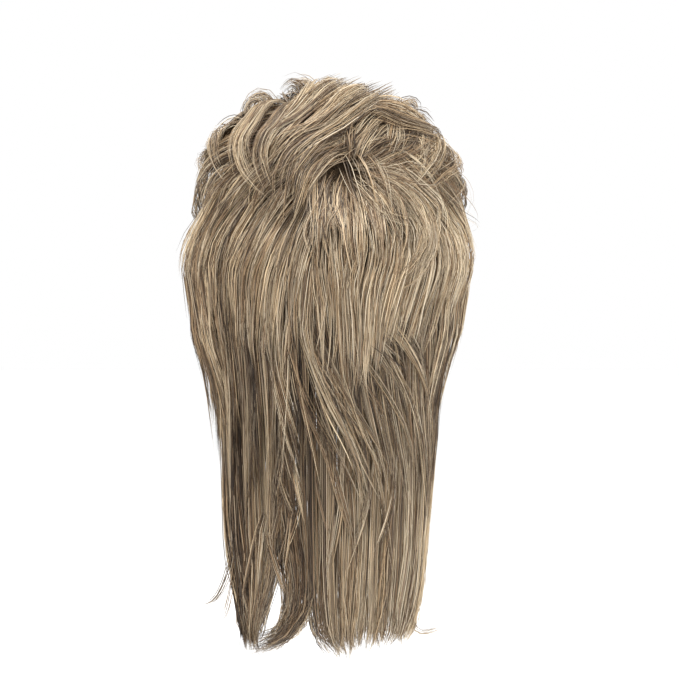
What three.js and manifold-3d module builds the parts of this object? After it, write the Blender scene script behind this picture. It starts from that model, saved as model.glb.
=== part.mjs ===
// A mullet wig: a stretch cap with a bound edge that carries seven layers of hair.
// The hair is short and lifted on top, covers the ears, and hangs long behind the neck.
// Millimetres, +Z up. The wearer faces -Y, so the long hair hangs at +Y.
// The origin is the inside of the cap at its crown, where the top of the head seats.
import * as THREE from "three";
import { mergeVertices } from "three/addons/utils/BufferGeometryUtils.js";
import Module from "manifold-3d";

const wasm = await Module();
wasm.setup();

// The head that the cap fits
const headWidth = 154;
const headLength = 200;
const domeHeight = 105; // crown down to the widest level
const napeDrop = 76; // widest level down to the cap's edge at the nape
const foreheadDrop = 52; // crown down to the cap's edge over the forehead
const earArchDrop = 94; // crown down to the arch over each ear
const earTabDrop = 128; // crown down to the end of each ear tab

// The cap and its edge band
const capWall = 1.6;
const bandWall = 1.2;
const bandWidth = 12;
const clearance = 0.8; // between the cap and its band
const layerGap = 1.6; // between layers of hair, whose flat faces dip into it

// Lengths of the hair, all measured down from the crown
const backLength = 374; // longest tips
const backLayerLength = 268;
const sideLength = 186;
const fringeLength = 88;

// How thick each layer of hair lies
const napeThickness = 13;
const backThickness = 10;
const sideThickness = 16;
const fringeThickness = 9;
const crownThickness = 11;
const topThickness = 13;
const backingThickness = 2.4; // sewn rows that the locks grow from
const lockWidth = 28;
const rowInset = 7; // from a sheet's upper edge down to where its locks grow
const tuftLift = 10; // how far the tufts on top stand off

// The whorl that the short hair radiates from, in degrees down from the crown and round from the back
const whorlTilt = 58;
const whorlTurn = 8;

const widest = -domeHeight;
const capEdgeBack = domeHeight + napeDrop;
const hangHeight = backLength - domeHeight; // hair below the widest level
const radians = Math.PI / 180;

// The form that the hair hangs on below the widest level, as shares of the head's sizes
const hangingForm = [
  { drop: 0, width: 1, length: 1 },
  { drop: 0.14, width: 0.97, length: 0.96 },
  { drop: 0.28, width: 0.87, length: 0.89 },
  { drop: 0.4, width: 0.81, length: 0.86 },
  { drop: 0.58, width: 0.78, length: 0.86 },
  { drop: 1, width: 0.76, length: 0.88 },
];

// The cap's edge, by degrees round from the back of the head
const capEdge = [
  { azimuth: 0, drop: capEdgeBack },
  { azimuth: 38, drop: domeHeight + 0.92 * napeDrop },
  { azimuth: 62, drop: domeHeight + 0.5 * napeDrop },
  { azimuth: 86, drop: earArchDrop },
  { azimuth: 112, drop: earTabDrop },
  { azimuth: 132, drop: 0.5 * (earTabDrop + foreheadDrop) },
  { azimuth: 152, drop: 1.12 * foreheadDrop },
  { azimuth: 180, drop: foreheadDrop },
];

// Thickness of each layer as a share of its full one, by depth below the crown as a share of its length
const napeFill = [
  { depth: 0.2, share: 0 },
  { depth: 0.29, share: 0.36 },
  { depth: 0.46, share: 0.66 },
  { depth: 0.64, share: 1 },
  { depth: 0.85, share: 0.9 },
  { depth: 1, share: 0.5 },
];
const backFill = [
  { depth: 0.1, share: 0 },
  { depth: 0.24, share: 0.7 },
  { depth: 0.4, share: 1 },
  { depth: 0.6, share: 1 },
  { depth: 0.85, share: 0.6 },
  { depth: 1, share: 0.3 },
];
const sideFill = [
  { depth: 0.02, share: 0 },
  { depth: 0.3, share: 0.65 },
  { depth: 0.55, share: 1 },
  { depth: 0.8, share: 0.86 },
  { depth: 1, share: 0.5 },
];
const fringeFill = [
  { depth: 0.08, share: 0 },
  { depth: 0.3, share: 0.7 },
  { depth: 0.6, share: 1 },
  { depth: 1, share: 1 },
];

// Depth of the longest tips round the back, as shares of backLength
const backTips = [
  { azimuth: -80, share: 0.86 },
  { azimuth: -60, share: 0.98 },
  { azimuth: -36, share: 0.95 },
  { azimuth: -10, share: 0.94 },
  { azimuth: 10, share: 1 },
  { azimuth: 36, share: 0.96 },
  { azimuth: 62, share: 0.93 },
  { azimuth: 80, share: 0.86 },
];

// Depth of the tips over each ear, as shares of sideLength, shorter towards the face
const sideTips = [
  { azimuth: 50, share: 1 },
  { azimuth: 96, share: 0.98 },
  { azimuth: 116, share: 0.84 },
  { azimuth: 136, share: 0.62 },
];

// Locks that sweep away from the whorl. Each runs through three places over the head, given
// in degrees round from the back and degrees down from the crown.
const crownSwoops = [
  { round: [-2, -10, -22], down: [62, 70, 92], width: 1 },
  { round: [7, 1, 6], down: [67, 80, 100], width: 1.1 },
  { round: [14, 24, 15], down: [67, 80, 98], width: 1.1 },
  { round: [17, 44, 27], down: [62, 77, 98], width: 1.15 },
  { round: [-3, -24, -38], down: [56, 60, 84], width: 1.1 },
  { round: [18, 48, 58], down: [56, 60, 84], width: 1.1 },
  { round: [-2, -40, -60], down: [50, 48, 66], width: 1.1 },
  { round: [20, 52, 74], down: [50, 48, 66], width: 1.1 },
  { round: [-8, -10, -6], down: [78, 96, 114], width: 1 },
  { round: [10, 14, 26], down: [82, 98, 118], width: 1 },
  { round: [-20, -28, -26], down: [76, 92, 110], width: 1 },
  { round: [32, 40, 38], down: [80, 94, 112], width: 1 },
  { round: [-36, -46, -46], down: [70, 84, 102], width: 1 },
  { round: [50, 58, 54], down: [70, 84, 102], width: 1 },
];

// Locks that are swept over the top, behind first and then to the sides and the face
const topSwoops = [
  { round: [-30, -92, -64], down: [30, 47, 66], width: 1.25, arch: 0.9, lift: 0 },
  { round: [-15, -48, -36], down: [36, 50, 68], width: 1.05, arch: 0.5, lift: 0 },
  { round: [-4, -34, -21], down: [36, 52, 73], width: 1, arch: 0.5, lift: 0.1 },
  { round: [36, -10, -17], down: [26, 46, 74], width: 1, arch: 0.4, lift: 0 },
  { round: [34, 6, -8], down: [36, 50, 72], width: 0.9, arch: 0.2, lift: 0.1 },
  { round: [46, 64, 32], down: [38, 58, 76], width: 1.05, arch: 0.5, lift: 0.1 },
  { round: [70, 88, 54], down: [36, 58, 76], width: 1.15, arch: 0.1, lift: 0 },
  { round: [31, 54, 82], down: [32, 42, 56], width: 0.8, arch: 0.4, lift: 1.2 },
  { round: [30, 64, 92], down: [24, 26, 36], width: 0.9, arch: 0.3, lift: 1.1 },
  { round: [-40, -72, -84], down: [26, 24, 38], width: 0.9, arch: 0.5, lift: 1.1 },
  { round: [10, -36, -66], down: [24, 15, 22], width: 0.9, arch: 0.4, lift: 0.9 },
  { round: [16, 60, 160], down: [20, 8, 10], width: 0.9, arch: 0.2, lift: 0.7 },
  { round: [98, 108, 116], down: [12, 44, 70], width: 1.2, arch: 0.3, lift: 0.5 },
  { round: [-98, -108, -116], down: [12, 44, 70], width: 1.2, arch: 0.3, lift: 0.5 },
  { round: [126, 134, 140], down: [9, 38, 62], width: 1.2, arch: 0.3, lift: 0.6 },
  { round: [-126, -134, -140], down: [7, 36, 60], width: 1.2, arch: 0.3, lift: 0.6 },
  { round: [160, 158, 166], down: [8, 36, 58], width: 1.1, arch: 0.3, lift: 0.7 },
  { round: [30, -164, -168], down: [6, 30, 56], width: 1.1, arch: 0.3, lift: 0.7 },
];

const colours = {
  cap: 0x4a3d31,
  band: 0x2f2822,
  hair: 0x8d7a60,
  underHair: 0x7b6952,
};

// A smooth value between the rows of a table, by one of its columns
function read(table, column, key, at) {
  const last = table.length - 1;
  if (at <= table[0][key]) return table[0][column];
  if (at >= table[last][key]) return table[last][column];
  const i = table.findIndex((row) => row[key] > at) - 1;
  const share = (at - table[i][key]) / (table[i + 1][key] - table[i][key]);
  return THREE.MathUtils.lerp(table[i][column], table[i + 1][column], share * share * (3 - 2 * share));
}

// A share from 0 to 1 that looks random but is the same each time
function scatter(seed) {
  const wave = Math.sin(seed * 12.9898 + 4.1414) * 43758.5453;
  return wave - Math.floor(wave);
}

// The point on the head form nearest to a place, pushed out by an offset
function onForm(place, offset) {
  const above = place.z >= widest;
  const axis = new THREE.Vector3(0, 0, above ? widest : place.z);
  const way = place.clone().sub(axis).normalize();
  const drop = (widest - place.z) / hangHeight;
  const halfWidth = (headWidth / 2) * (above ? 1 : read(hangingForm, "width", "drop", drop));
  const halfLength = (headLength / 2) * (above ? 1 : read(hangingForm, "length", "drop", drop));
  const reach = 1 / Math.hypot(way.x / halfWidth, way.y / halfLength, way.z / domeHeight);
  return axis.addScaledVector(way, reach + offset);
}

// A place by degrees round from the back, positive to the wearer's right, and depth below the crown
function fromBack(azimuth, depth) {
  const rise = Math.max(0, 1 - depth / domeHeight);
  const spread = Math.sqrt(1 - rise * rise);
  const x = -Math.sin(azimuth * radians) * (headWidth / 2) * spread;
  const y = Math.cos(azimuth * radians) * (headLength / 2) * spread;
  return new THREE.Vector3(x, y, -depth);
}

// A place by degrees round from the back and degrees down from the crown: 90 is the widest level
function overHead(azimuth, down) {
  const turn = down * radians;
  const share = turn <= Math.PI / 2 ? 1 - Math.cos(turn) : 1 + turn - Math.PI / 2;
  return fromBack(azimuth, Math.max(domeHeight * share, 1e-4));
}

// A place by degrees away from the whorl and degrees round it: 0 to the front, 90 to the wearer's right
function fromWhorl(turn, away) {
  const way = new THREE.Vector3(0, 0, 1);
  way.applyAxisAngle(new THREE.Vector3(1, 0, 0), away * radians);
  way.applyAxisAngle(new THREE.Vector3(0, 0, 1), turn * radians);
  way.applyAxisAngle(new THREE.Vector3(1, 0, 0), -whorlTilt * radians);
  way.applyAxisAngle(new THREE.Vector3(0, 0, 1), whorlTurn * radians);
  return way.multiplyScalar(headLength / 2).add(new THREE.Vector3(0, 0, widest));
}

// Degrees round from the back and depth of a place on the head
function measured(place) {
  const spot = onForm(place, 0);
  const whorl = fromWhorl(0, 0).sub(new THREE.Vector3(0, 0, widest));
  return {
    azimuth: Math.atan2(-spot.x, spot.y) / radians,
    depth: -spot.z,
    fromWhorl: whorl.angleTo(spot.sub(new THREE.Vector3(0, 0, widest))) / radians,
  };
}

const { smoothstep } = THREE.MathUtils;

// How thick each layer is where it lies, 0 where it is absent
const layerDepth = {
  nape: ({ azimuth, depth }) =>
    napeThickness *
    read(napeFill, "share", "depth", depth / backLength) *
    (1 - smoothstep(Math.abs(azimuth), 66, 98)),
  back: ({ azimuth, depth }) =>
    backThickness *
    read(backFill, "share", "depth", depth / backLayerLength) *
    (1 - smoothstep(depth, backLayerLength, 1.12 * backLayerLength)) *
    (1 - smoothstep(Math.abs(azimuth), 60, 94)),
  side: ({ azimuth, depth }) =>
    sideThickness *
    read(sideFill, "share", "depth", depth / sideLength) *
    smoothstep(Math.abs(azimuth), 36, 88) *
    (1 - smoothstep(Math.abs(azimuth), 132, 146)),
  fringe: ({ azimuth, depth }) =>
    fringeThickness *
    read(fringeFill, "share", "depth", depth / fringeLength) *
    smoothstep(Math.abs(azimuth), 132, 146),
  crown: ({ fromWhorl: away }) => crownThickness * (1 - smoothstep(away, 44, 76)),
  top: () => topThickness,
};

// The layers that lie under each one
const layersUnder = {
  nape: [],
  back: ["nape"],
  side: ["nape", "back"],
  fringe: ["nape", "back", "side"],
  crown: ["nape", "back", "side", "fringe"],
  top: ["nape", "back", "side", "fringe", "crown"],
};

// The height above the head at which a layer starts
function floorOf(layer, where) {
  const rises = layersUnder[layer].map((under) => {
    const thickness = layerDepth[under](where);
    return thickness + layerGap * smoothstep(thickness, 0, 1);
  });
  return capWall + layerGap + rises.reduce((sum, rise) => sum + rise, 0);
}

// Moves every vertex of a plain geometry and closes its seams
function bend(geometry, move) {
  const source = geometry.getAttribute("position");
  const moved = source.clone();
  for (let i = 0; i < source.count; i++) {
    const to = move(new THREE.Vector3().fromBufferAttribute(source, i));
    moved.setXYZ(i, to.x, to.y, to.z);
  }
  const bent = new THREE.BufferGeometry().setAttribute("position", moved).setIndex(geometry.index);
  return mergeVertices(bent, 1e-3);
}

// A closed geometry as a solid, with its faces turned out if the bend turned them in
function toSolid(geometry) {
  const vertProperties = geometry.getAttribute("position").array;
  const triVerts = new Uint32Array(geometry.index.array);
  const made = new wasm.Manifold(new wasm.Mesh({ numProp: 3, vertProperties, triVerts }));
  if (made.volume() > 0) return made;
  return new wasm.Manifold(new wasm.Mesh({ numProp: 3, vertProperties, triVerts: triVerts.reverse() }));
}

function toGeometry(solid) {
  const { vertProperties, triVerts } = solid.getMesh();
  return new THREE.BufferGeometry()
    .setAttribute("position", new THREE.BufferAttribute(vertProperties, 3))
    .setIndex(new THREE.BufferAttribute(triVerts, 1));
}

// A lathe profile of two walls, the outer at height 1 and the inner at 0, from one radius to the next
function twoWalls(from, to, rows) {
  const row = (to - from) / rows;
  const outer = Array.from({ length: rows + 1 }, (_, i) => new THREE.Vector2(from + row * i, 1));
  const inner = outer.map(({ x }) => new THREE.Vector2(x, 0)).reverse();
  return from === 0 ? [...outer, ...inner] : [...outer, ...inner, outer[0]];
}

const capRows = 6; // from the crown to the band
const bandRows = 2;
const capColumns = 28;

// The cap's edge as a depth below the crown
function edgeDepth(azimuth) {
  return read(capEdge, "drop", "azimuth", Math.abs(azimuth));
}

// A place on the way from the crown to an edge at a depth, evenly spread
function downTo(azimuth, depth, share) {
  const dropped = depth / domeHeight;
  const edgeTurn = dropped <= 1 ? Math.acos(1 - dropped) : Math.PI / 2 + dropped - 1;
  return overHead(azimuth, (edgeTurn / radians) * share);
}

// A place on the edge band, from its top at 0 to the cap's edge at 1
function onBand(azimuth, share) {
  return fromBack(azimuth, edgeDepth(azimuth) - bandWidth * (1 - share));
}

function cap() {
  const dome = twoWalls(0, capRows, capRows);
  const rim = twoWalls(capRows + 1, capRows + bandRows, bandRows - 1);
  const profile = [...dome.slice(0, capRows + 1), ...rim.slice(0, -1), ...dome.slice(capRows + 1)];
  return toSolid(
    bend(new THREE.LatheGeometry(profile, capColumns), ({ x, y, z }) => {
      const azimuth = Math.atan2(x, z) / radians;
      const row = Math.hypot(x, z);
      const place =
        row <= capRows
          ? downTo(azimuth, edgeDepth(azimuth) - bandWidth, row / capRows)
          : onBand(azimuth, (row - capRows) / bandRows);
      return onForm(place, capWall * y);
    }),
  );
}

// A ribbon sewn inside the cap's edge
function edgeBand() {
  const ring = new THREE.LatheGeometry(twoWalls(1, 2, bandRows), capColumns);
  return toSolid(
    bend(ring, ({ x, y, z }) => {
      const place = onBand(Math.atan2(x, z) / radians, Math.hypot(x, z) - 1);
      return onForm(place, -clearance - bandWall * (1 - y));
    }),
  );
}

// A sewn strip of backing: place(across, along) gives the way over the head, both from 0 to 1
function backing(layer, columns, rows, place) {
  const strip = new THREE.BoxGeometry(1, 1, 1, columns, rows, 1);
  return toSolid(
    bend(strip, ({ x, y, z }) => {
      const spot = place(x + 0.5, y + 0.5);
      const where = measured(spot);
      return onForm(spot, floorOf(layer, where) + backingThickness * (z + 0.5));
    }),
  );
}

const lockSides = 4; // a ridge, two edges and a keel
const lockSteps = 5;
const rootShare = 0.7; // width of a lock at its root, of its full width
const tipShare = 0.12;
const fullest = 0.35; // where along a lock it is widest
const tipCurve = 2.4; // how late it narrows towards its tip
const leastRidge = 0.6; // height of a ridge over its lock's foot where the layer thins out

// The width of a lock along its way, as a share of its full one
function taper(share) {
  if (share < fullest) return THREE.MathUtils.lerp(rootShare, 1, share / fullest);
  return 1 - (1 - tipShare) * ((share - fullest) / (1 - fullest)) ** tipCurve;
}

// The height of a lock's ridge along its way, as a share of its layer's thickness
function ridge(share) {
  const swell = 0.6 + 0.4 * Math.sin(Math.PI * Math.min(1, share / 0.8));
  return swell * Math.min(1, 0.25 + 3 * (1 - share));
}

// One tapered lock with a flat back and a ridge, along path(share) from its root at 0 to its tip at 1
function lock(layer, { path, width, arch = 0, lift = 0 }) {
  const stick = new THREE.CylinderGeometry(1, 1, 1, lockSides, lockSteps);
  const foot = 0.35 * backingThickness; // rooted in the sheet
  const step = 0.02;
  return toSolid(
    bend(stick, ({ x, y, z }) => {
      const share = y + 0.5;
      const middle = path(share);
      const ahead = path(Math.min(1, share + step)).sub(path(Math.max(0, share - step)));
      const outward = middle.clone().sub(new THREE.Vector3(0, 0, Math.max(widest, middle.z))).normalize();
      const across = new THREE.Vector3().crossVectors(ahead, outward).normalize();
      const spot = middle.addScaledVector(across, (width / 2) * taper(share) * x);
      const where = measured(spot);
      const bulge = arch * Math.sin(Math.PI * share);
      const top = Math.max(foot + leastRidge, layerDepth[layer](where) * ridge(share)) + bulge;
      const height = z > 0.5 ? top : foot;
      return onForm(spot, floorOf(layer, where) + height + lift * share * share);
    }),
  );
}

// A path over the head through three places
function swoop({ round, down }) {
  const curve = new THREE.CatmullRomCurve3(round.map((azimuth, i) => overHead(azimuth, down[i])));
  return (share) => curve.getPoint(share);
}

// Locks from a table of swoops
function swept(layer, table) {
  return table.map(({ round, down, width, arch = 0, lift = 0 }) => {
    const path = swoop({ round, down });
    return lock(layer, { path, width: lockWidth * width, arch: tuftLift * arch, lift: tuftLift * lift });
  });
}

// A path down the back or side, from one depth to another
function fallingPath(azimuth, from, to, drift) {
  return (share) => fromBack(azimuth + drift * share * share, THREE.MathUtils.lerp(from, to, share));
}

function spread(count, from, to, make) {
  return Array.from({ length: count }, (_, i) => make(THREE.MathUtils.lerp(from, to, (i + 0.5) / count), i));
}

// Joins locks and their backing, and fills the pockets that they seal between them
function fuse(parts) {
  const whole = parts.reduce((joined, part) => joined.add(part));
  const bodies = whole.decompose().filter((body) => body.volume() > 0);
  return bodies.reduce((joined, body) => joined.add(body));
}

// A sheet of backing between two azimuths, from a depth down to a share of the tips' depth
function hangingSheet(layer, { first, last, from, tips, share, columns, rows }) {
  return backing(layer, columns, rows, (across, along) => {
    const azimuth = THREE.MathUtils.lerp(first, last, across);
    return fromBack(azimuth, THREE.MathUtils.lerp(share * tips(azimuth), from, along));
  });
}

// The longest hair, from the lowest rows on the cap
function napeLength() {
  const from = domeHeight + rowInset;
  const tips = (azimuth) => backLength * read(backTips, "share", "azimuth", azimuth);
  const shape = { first: -72, last: 72, from, tips, share: 0.9, columns: 9, rows: 5 };
  const locks = spread(12, -84, 84, (azimuth, i) => {
    const tip = tips(azimuth) * (1 - 0.07 * scatter(i + 3));
    const drift = 0.08 * azimuth + 12 * (scatter(i) - 0.5);
    const path = fallingPath(0.86 * azimuth, from + rowInset, tip, drift);
    return lock("nape", { path, width: 0.9 * lockWidth });
  });
  return fuse([hangingSheet("nape", shape), ...locks]);
}

// Shoulder-length hair that falls over the longest
function backLayer() {
  const from = 0.5 * domeHeight;
  const tips = () => backLayerLength;
  const shape = { first: -66, last: 66, from, tips, share: 0.76, columns: 9, rows: 5 };
  const locks = spread(10, -74, 74, (azimuth, i) => {
    const tip = backLayerLength * (1 - 0.24 * scatter(i + 7));
    const drift = 16 * (scatter(i + 2) - 0.3);
    const path = fallingPath(0.94 * azimuth, from + rowInset, tip, drift);
    return lock("back", { path, width: lockWidth });
  });
  return fuse([hangingSheet("back", shape), ...locks]);
}

// Hair over one ear: side is 1 for the wearer's right and -1 for the left
function sideLayer(side) {
  const from = 0.34 * domeHeight;
  const tips = (azimuth) => sideLength * read(sideTips, "share", "azimuth", Math.abs(azimuth));
  const shape = { first: side * 60, last: side * 128, from, tips, share: 0.84, columns: 5, rows: 5 };
  const locks = spread(7, 56, 136, (azimuth, i) => {
    const tip = tips(azimuth) * (1 - 0.05 * scatter(i + 9));
    const path = fallingPath(side * azimuth, from + rowInset, tip, -side * 9);
    return lock("side", { path, width: lockWidth });
  });
  return fuse([hangingSheet("side", shape), ...locks]);
}

// Short hair that falls on the forehead
function fringe() {
  const from = 0.16 * domeHeight;
  const tips = () => fringeLength;
  const shape = { first: 150, last: 210, from, tips, share: 0.8, columns: 6, rows: 3 };
  const locks = spread(7, 146, 214, (azimuth, i) => {
    const tip = fringeLength * (1 - 0.16 * scatter(i + 31));
    const drift = 10 * (scatter(i + 1) - 0.5);
    const path = fallingPath(azimuth, from + rowInset, tip, drift);
    return lock("fringe", { path, width: lockWidth });
  });
  return fuse([hangingSheet("fringe", shape), ...locks]);
}

// Short layered hair round the whorl
function crownLayer() {
  const disc = 36; // degrees from the whorl
  const sheet = toSolid(
    bend(new THREE.LatheGeometry(twoWalls(0, 1, 4), 16), ({ x, y, z }) => {
      const spot = fromWhorl(Math.atan2(x, z) / radians, disc * Math.hypot(x, z));
      return onForm(spot, floorOf("crown", measured(spot)) + backingThickness * y);
    }),
  );
  return fuse([sheet, ...swept("crown", crownSwoops)]);
}

// Lifted hair swept over the top of the head
function topLayer() {
  const sheet = backing("top", 11, 6, (across, along) => {
    const turn = THREE.MathUtils.lerp(-80, 80, across);
    return fromWhorl(turn, THREE.MathUtils.lerp(52 + 44 * Math.cos(turn * radians), 28, along));
  });
  return fuse([sheet, ...swept("top", topSwoops)]);
}

const wig = new THREE.Group();
wig.name = "mullet_wig";

function addPiece(name, geometry, color, roughness = 0.55) {
  const material = new THREE.MeshStandardMaterial({ color, roughness, metalness: 0 });
  const piece = new THREE.Mesh(geometry, material);
  piece.name = name;
  wig.add(piece);
}

addPiece("cap", toGeometry(cap()), colours.cap, 0.9);
addPiece("edge_band", toGeometry(edgeBand()), colours.band, 0.85);
addPiece("nape_length", toGeometry(napeLength()), colours.underHair);
addPiece("back_layer", toGeometry(backLayer()), colours.hair);
addPiece("side_layer_left", toGeometry(sideLayer(-1)), colours.hair);
addPiece("side_layer_right", toGeometry(sideLayer(1)), colours.hair);
addPiece("fringe", toGeometry(fringe()), colours.hair);
addPiece("crown_layer", toGeometry(crownLayer()), colours.hair);
addPiece("top_layer", toGeometry(topLayer()), colours.hair);

export default wig;
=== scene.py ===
import math
import bpy
import numpy as np
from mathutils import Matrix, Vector


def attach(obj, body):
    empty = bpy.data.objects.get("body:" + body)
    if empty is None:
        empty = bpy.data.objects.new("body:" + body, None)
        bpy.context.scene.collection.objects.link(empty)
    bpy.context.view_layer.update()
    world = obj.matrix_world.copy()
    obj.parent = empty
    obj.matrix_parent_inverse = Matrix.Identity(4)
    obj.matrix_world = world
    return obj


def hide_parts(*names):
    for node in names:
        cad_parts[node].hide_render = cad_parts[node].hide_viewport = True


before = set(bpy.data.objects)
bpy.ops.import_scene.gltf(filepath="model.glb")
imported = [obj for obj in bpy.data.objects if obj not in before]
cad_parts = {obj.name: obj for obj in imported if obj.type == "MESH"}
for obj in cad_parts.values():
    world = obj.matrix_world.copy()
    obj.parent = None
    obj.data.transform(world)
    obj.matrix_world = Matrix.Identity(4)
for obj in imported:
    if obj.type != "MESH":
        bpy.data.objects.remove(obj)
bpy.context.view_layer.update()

print("frame loaded:", len(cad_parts), "nodes")

# Sizes in metres, the same as the solids have
head = dict(width=0.154, length=0.2, dome=0.105)
hairLength = dict(nape=0.374, back=0.268, side=0.186, fringe=0.088)
thickness = dict(nape=0.013, back=0.01, side=0.016, fringe=0.009, crown=0.011, top=0.013)
capWall = 0.0016
layerGap = 0.0016
whorl = dict(tilt=58, turn=8)  # degrees down from the crown, and round from the back
widest = -head["dome"]  # the level where the cap is widest
hangHeight = hairLength["nape"] - head["dome"]

# The form that hair hangs on below the widest level, as shares of the cap's width and length
hangingForm = [
    dict(drop=0, width=1, length=1), dict(drop=0.14, width=0.97, length=0.96),
    dict(drop=0.28, width=0.87, length=0.89), dict(drop=0.4, width=0.81, length=0.86),
    dict(drop=0.58, width=0.78, length=0.86), dict(drop=1, width=0.76, length=0.88),
]
# How full each layer is, by shares of its length
fill = dict(
    nape=[dict(depth=0.2, share=0), dict(depth=0.29, share=0.36), dict(depth=0.46, share=0.66),
          dict(depth=0.64, share=1), dict(depth=0.85, share=0.9), dict(depth=1, share=0.5)],
    back=[dict(depth=0.1, share=0), dict(depth=0.24, share=0.7), dict(depth=0.4, share=1),
          dict(depth=0.6, share=1), dict(depth=0.85, share=0.6), dict(depth=1, share=0.3)],
    side=[dict(depth=0.02, share=0), dict(depth=0.3, share=0.65), dict(depth=0.55, share=1),
          dict(depth=0.8, share=0.86), dict(depth=1, share=0.5)],
    fringe=[dict(depth=0.08, share=0), dict(depth=0.3, share=0.7), dict(depth=0.6, share=1),
            dict(depth=1, share=1)],
)
# Where the hair over the ears ends, as shares of its length, by degrees round from the back
sideTips = [
    dict(azimuth=50, share=1), dict(azimuth=96, share=0.98), dict(azimuth=116, share=0.84),
    dict(azimuth=136, share=0.62),
]


# How the form under the hair is measured

def readTable(rows, key, column, at):
    keys = np.array([row[key] for row in rows], float)
    values = np.array([row[column] for row in rows], float)
    i = np.clip(np.searchsorted(keys, at, side="right") - 1, 0, len(rows) - 2)
    share = np.clip((at - keys[i]) / (keys[i + 1] - keys[i]), 0, 1)
    return values[i] + (values[i + 1] - values[i]) * share * share * (3 - 2 * share)


def smooth(value, low, high):
    share = np.clip((value - low) / (high - low), 0, 1)
    return share * share * (3 - 2 * share)


def unit(vectors):
    return vectors / np.maximum(np.linalg.norm(vectors, axis=-1, keepdims=True), 1e-12)


def wayOut(place):  # from the middle of the dome, and level below it
    axis = np.zeros_like(place)
    axis[..., 2] = np.minimum(widest, place[..., 2])
    return axis, unit(place - axis)


def halfSizes(up):  # half the width and half the length of the form, at a level
    drop = (widest - up) / hangHeight
    width = np.where(up >= widest, 1, readTable(hangingForm, "drop", "width", drop))
    length = np.where(up >= widest, 1, readTable(hangingForm, "drop", "length", drop))
    return head["width"] / 2 * width, head["length"] / 2 * length


def onForm(place, offset):  # the form, pushed out by an offset
    axis, way = wayOut(place)
    halfWidth, halfLength = halfSizes(place[..., 2])
    reach = 1 / np.sqrt((way[..., 0] / halfWidth) ** 2 + (way[..., 1] / halfLength) ** 2
                        + (way[..., 2] / head["dome"]) ** 2)
    return axis + way * (reach + offset)[..., None]


def fromBack(azimuth, depth):  # degrees round from the back, positive to the right as seen from there
    azimuth, depth = np.broadcast_arrays(np.radians(azimuth), np.asarray(depth, float))
    rise = np.clip(1 - depth / head["dome"], 0, 1)
    spread = np.sqrt(1 - rise * rise)
    return np.stack([-np.sin(azimuth) * head["width"] / 2 * spread,
                     np.cos(azimuth) * head["length"] / 2 * spread, -depth], -1)


def overHead(azimuth, down):  # degrees round and degrees down from the crown: 90 is the widest level
    turn = np.radians(np.asarray(down, float))
    share = np.where(turn <= math.pi / 2, 1 - np.cos(turn), 1 + turn - math.pi / 2)
    return fromBack(azimuth, np.maximum(head["dome"] * share, 1e-7))


whorlWay = np.array([
    -math.sin(math.radians(whorl["tilt"])) * math.sin(math.radians(whorl["turn"])),
    math.sin(math.radians(whorl["tilt"])) * math.cos(math.radians(whorl["turn"])),
    math.cos(math.radians(whorl["tilt"])),
])


def measured(place):
    spot = onForm(place, np.zeros(place.shape[:-1]))
    azimuth = np.degrees(np.arctan2(-spot[..., 0], spot[..., 1]))
    away = np.degrees(np.arccos(np.clip(unit(spot - np.array([0, 0, widest])) @ whorlWay, -1, 1)))
    return dict(azimuth=azimuth, depth=-spot[..., 2], away=away)


def filled(layer, where):
    return readTable(fill[layer], "depth", "share", where["depth"] / hairLength[layer])


def layerDepth(layer, where):  # how thick a layer is where it lies
    across = np.abs(where["azimuth"])
    if layer == "nape":
        share = filled(layer, where) * (1 - smooth(across, 66, 98))
    elif layer == "back":
        end = 1 - smooth(where["depth"], hairLength["back"], 1.12 * hairLength["back"])
        share = filled(layer, where) * end * (1 - smooth(across, 60, 94))
    elif layer == "side":
        share = filled(layer, where) * smooth(across, 36, 88) * (1 - smooth(across, 132, 146))
    elif layer == "fringe":
        share = filled(layer, where) * smooth(across, 132, 146)
    elif layer == "crown":
        share = 1 - smooth(where["away"], 44, 76)
    else:
        share = 1 - 0.8 * smooth(where["depth"], 0.045, 0.085)
    return thickness[layer] * share


layersUnder = dict(nape=[], back=["nape"], side=["nape", "back"], fringe=["nape", "back", "side"],
                   crown=["nape", "back", "side", "fringe"], top=["nape", "back", "side", "fringe", "crown"])


def floorOf(layer, where):
    total = capWall + layerGap
    for under in layersUnder[layer]:
        depth = layerDepth(under, where)
        total = total + depth + layerGap * smooth(depth, 0, 0.001)
    return total


# Paths that locks follow: each takes shares from 0 at the root to 1 at the tip

def curveThrough(points):
    spans = len(points) - 1
    ends = np.vstack([2 * points[0] - points[1], points, 2 * points[-1] - points[-2]])

    def curve(share):
        at = np.asarray(share) * spans
        i = np.clip(np.floor(at).astype(int), 0, spans - 1)
        t = (at - i)[..., None]
        a, b, c, d = ends[i], ends[i + 1], ends[i + 2], ends[i + 3]
        return 0.5 * (2 * b + (c - a) * t + (2 * a - 5 * b + 4 * c - d) * t * t
                      + (3 * b - a - 3 * c + d) * t ** 3)
    return curve


def swoopPath(row):  # degrees round from the back, and down from the crown
    return curveThrough(overHead(np.array(row["round"], float), row["down"]))


seenOut = 0.02  # how far the hair that shows from behind lies outside the form
# Past its outline, as seen from behind, a path goes on over the ridge of the top and down in front
ridge = dict(up=0.006, flat=0.0009, least=0.03, furthest=0.16)


def behind(left, up, out):  # the place on the hair that shows there from behind
    halfWidth, halfLength = halfSizes(up)
    rise = np.where(up >= widest, up - widest, 0) / (head["dome"] + out)
    near = 1 - (left / (halfWidth + out)) ** 2 - rise ** 2
    onward = np.where(up > ridge["up"], -np.sqrt(np.clip(-near, 0, ridge["furthest"])), ridge["least"])
    near = np.where(near > ridge["flat"], np.sqrt(np.clip(near, ridge["flat"], 1)), onward)
    return np.stack([left, (halfLength + out) * near, up], -1)


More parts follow.
